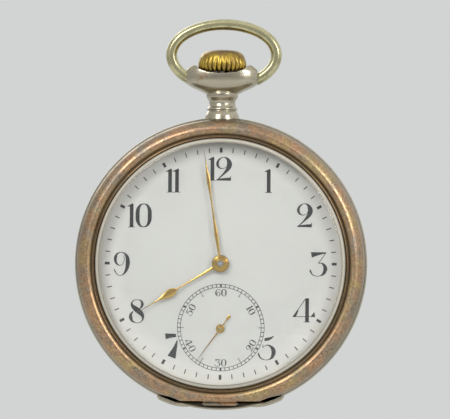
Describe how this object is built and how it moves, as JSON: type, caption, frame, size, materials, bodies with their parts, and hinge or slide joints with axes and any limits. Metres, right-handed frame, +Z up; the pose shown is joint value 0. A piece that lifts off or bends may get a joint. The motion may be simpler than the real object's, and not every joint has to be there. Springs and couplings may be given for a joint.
{
  "type": "fob watch",
  "caption": "Open-face stem-wound fob watch with a round hinged case, white enamel dial, small seconds at six, pendant, winding knob and bow.",
  "frame": {"origin": "the point inside the top of the bow where the watch hangs", "axes": "+Z up through the bow towards the hook that holds it; -Y the way the dial faces; +X to the right of the dial"},
  "size_m": [0.05, 0.0119, 0.0668],
  "materials": {
    "nickel_silver": "worn polished nickel silver",
    "silver": "worn polished silver",
    "rose_gold": "worn polished rose gold",
    "yellow_gold": "polished yellow gold",
    "crystal_glass": "clear mineral glass",
    "white_enamel": "glossy white enamel with printed figures",
    "gilt_brass": "frosted gilt",
    "train_brass": "polished brass",
    "steel": "fine-ground polished steel",
    "blued_steel": "heat-blued steel"
  },
  "bodies": {
    "bow": {"bow": "nickel_silver"},
    "case": {"case_middle": "silver", "pendant": "silver", "pendant_sleeve": "steel", "bezel_hinge_pin": "steel", "back_hinge_pin": "steel", "inner_hinge_pin": "steel", "dial": "white_enamel", "main_plate": "gilt_brass", "barrel_bridge": "gilt_brass", "train_bridge": "gilt_brass", "pallet_cock": "gilt_brass", "balance_cock": "gilt_brass", "crown_wheel_screw": "blued_steel", "click_spring": "steel", "balance_cock_screw": "blued_steel", "barrel_bridge_screw_left": "blued_steel", "barrel_bridge_screw_right": "blued_steel", "train_bridge_screw": "blued_steel", "case_screw_left": "blued_steel", "case_screw_right": "blued_steel"},
    "bezel": {"bezel": "rose_gold", "crystal": "crystal_glass"},
    "back_cover": {"back_cover": "rose_gold"},
    "inner_cover": {"inner_cover": "rose_gold"},
    "winding_stem": {"winding_arbor": "steel", "winding_pinion": "steel"},
    "crown": {"crown": "yellow_gold", "crown_stem": "steel"},
    "clutch": {"clutch_wheel": "steel"},
    "setting_lever": {"setting_lever": "steel"},
    "yoke": {"yoke": "steel"},
    "crown_wheel": {"crown_wheel": "steel"},
    "ratchet": {"ratchet_wheel": "steel", "ratchet_screw": "blued_steel", "barrel_arbor": "steel"},
    "click": {"click": "steel"},
    "barrel": {"barrel": "train_brass", "barrel_cover": "train_brass", "mainspring": "steel"},
    "centre": {"centre_wheel": "train_brass", "centre_arbor": "steel"},
    "minute": {"minute_hand": "yellow_gold", "cannon_pinion": "steel"},
    "minute_wheel": {"minute_wheel": "train_brass"},
    "hour": {"hour_hand": "yellow_gold", "hour_wheel": "train_brass"},
    "third": {"third_wheel": "train_brass", "third_arbor": "steel"},
    "seconds": {"seconds_hand": "yellow_gold", "fourth_wheel": "train_brass", "fourth_arbor": "steel"},
    "escape": {"escape_wheel": "steel", "escape_arbor": "steel"},
    "pallet_fork": {"pallet_fork": "steel"},
    "balance": {"balance_wheel": "train_brass", "balance_staff": "steel", "roller": "steel", "hairspring": "blued_steel"},
    "regulator": {"regulator": "steel"}
  },
  "joints": [
    {"name": "bow_swing", "type": "hinge", "parent": "bow", "child": "case", "pos_m": [0, 0, -0.00796], "axis": [1, 0, 0], "range_deg": [-100, 100]},
    {"name": "bezel_hinge", "type": "hinge", "parent": "case", "child": "bezel", "pos_m": [0, -0.0027, -0.06381], "axis": [1, 0, 0], "range_deg": [0, 95]},
    {"name": "back_cover_hinge", "type": "hinge", "parent": "case", "child": "back_cover", "pos_m": [0, 0.0021, -0.06381], "axis": [-1, 0, 0], "range_deg": [0, 95]},
    {"name": "inner_cover_hinge", "type": "hinge", "parent": "case", "child": "inner_cover", "pos_m": [0, 0.0021, -0.06221], "axis": [-1, 0, 0], "range_deg": [0, 81]},
    {"name": "crown_turn", "type": "hinge", "parent": "case", "child": "winding_stem", "pos_m": [0, 0, -0.02391], "axis": [0, 0, 1], "continuous": true},
    {"name": "crown_pull", "type": "slide", "parent": "winding_stem", "child": "crown", "axis": [0, 0, 1], "range_m": [0, 0.001]},
    {"name": "clutch_slide", "type": "slide", "parent": "winding_stem", "child": "clutch", "axis": [0, 0, -1], "range_m": [0, 0.0008]},
    {"name": "setting_lever_turn", "type": "hinge", "parent": "case", "child": "setting_lever", "pos_m": [0.0046, -0.0018, -0.02431], "axis": [0, 1, 0], "range_deg": [0, 12]},
    {"name": "yoke_turn", "type": "hinge", "parent": "case", "child": "yoke", "pos_m": [0.0052, -0.0018, -0.02891], "axis": [0, -1, 0], "range_deg": [0, 12]},
    {"name": "crown_wheel_turn", "type": "hinge", "parent": "case", "child": "crown_wheel", "pos_m": [0, 0.0033, -0.02891], "axis": [0, 1, 0], "continuous": true},
    {"name": "ratchet_turn", "type": "hinge", "parent": "case", "child": "ratchet", "pos_m": [-0.00857, 0.0033, -0.03496], "axis": [0, 1, 0], "continuous": true},
    {"name": "click_rock", "type": "hinge", "parent": "case", "child": "click", "pos_m": [-0.01155, 0.0033, -0.02759], "axis": [0, -1, 0], "range_deg": [0, 6]},
    {"name": "seconds_turn", "type": "hinge", "parent": "case", "child": "seconds", "pos_m": [0, 0.0005, -0.05101], "axis": [0, 1, 0], "continuous": true},
    {"name": "escape_turn", "type": "hinge", "parent": "case", "child": "escape", "pos_m": [-0.00439, 0.0009, -0.05496], "axis": [0, 1, 0], "continuous": true},
    {"name": "third_turn", "type": "hinge", "parent": "case", "child": "third", "pos_m": [0.00417, 0.0005, -0.04602], "axis": [0, 1, 0], "continuous": true},
    {"name": "centre_turn", "type": "hinge", "parent": "case", "child": "centre", "pos_m": [0, 0.0005, -0.03991], "axis": [0, 1, 0], "continuous": true},
    {"name": "barrel_turn", "type": "hinge", "parent": "case", "child": "barrel", "pos_m": [-0.00857, 0.0005, -0.03496], "axis": [0, 1, 0], "continuous": true},
    {"name": "minute_turn", "type": "hinge", "parent": "centre", "child": "minute", "pos_m": [0, -0.0035, -0.03991], "axis": [0, 1, 0], "continuous": true},
    {"name": "hour_turn", "type": "hinge", "parent": "case", "child": "hour", "pos_m": [0, -0.0035, -0.03991], "axis": [0, 1, 0], "continuous": true},
    {"name": "minute_wheel_turn", "type": "hinge", "parent": "case", "child": "minute_wheel", "pos_m": [0.00218, -0.0019, -0.0373], "axis": [0, 1, 0], "continuous": true},
    {"name": "pallet_rock", "type": "hinge", "parent": "case", "child": "pallet_fork", "pos_m": [-0.00678, 0.0009, -0.05255], "axis": [0, 1, 0], "range_deg": [-5, 5]},
    {"name": "balance_swing", "type": "hinge", "parent": "case", "child": "balance", "pos_m": [-0.0113, 0.0019, -0.048], "axis": [0, 1, 0], "range_deg": [-220, 220]},
    {"name": "regulator_turn", "type": "hinge", "parent": "case", "child": "regulator", "pos_m": [-0.0113, 0.0034, -0.048], "axis": [0, 1, 0], "range_deg": [-15, 15]}
  ],
  "couplings": [
    {"joint": "inner_cover_hinge", "follows": "back_cover_hinge", "ratio": 0.85},
    {"joint": "crown_wheel_turn", "follows": "crown_turn", "ratio": -0.4},
    {"joint": "ratchet_turn", "follows": "crown_turn", "ratio": 0.28571},
    {"joint": "clutch_slide", "follows": "crown_pull", "ratio": 0.8},
    {"joint": "setting_lever_turn", "follows": "crown_pull", "rad_per_m": 200},
    {"joint": "yoke_turn", "follows": "crown_pull", "rad_per_m": 200},
    {"joint": "hour_turn", "follows": "minute_turn", "ratio": 0.083333},
    {"joint": "minute_wheel_turn", "follows": "minute_turn", "ratio": -0.33333},
    {"joint": "escape_turn", "follows": "seconds_turn", "ratio": -10},
    {"joint": "third_turn", "follows": "seconds_turn", "ratio": -0.13333},
    {"joint": "centre_turn", "follows": "seconds_turn", "ratio": 0.016667},
    {"joint": "barrel_turn", "follows": "seconds_turn", "ratio": -0.0020833}
  ]
}
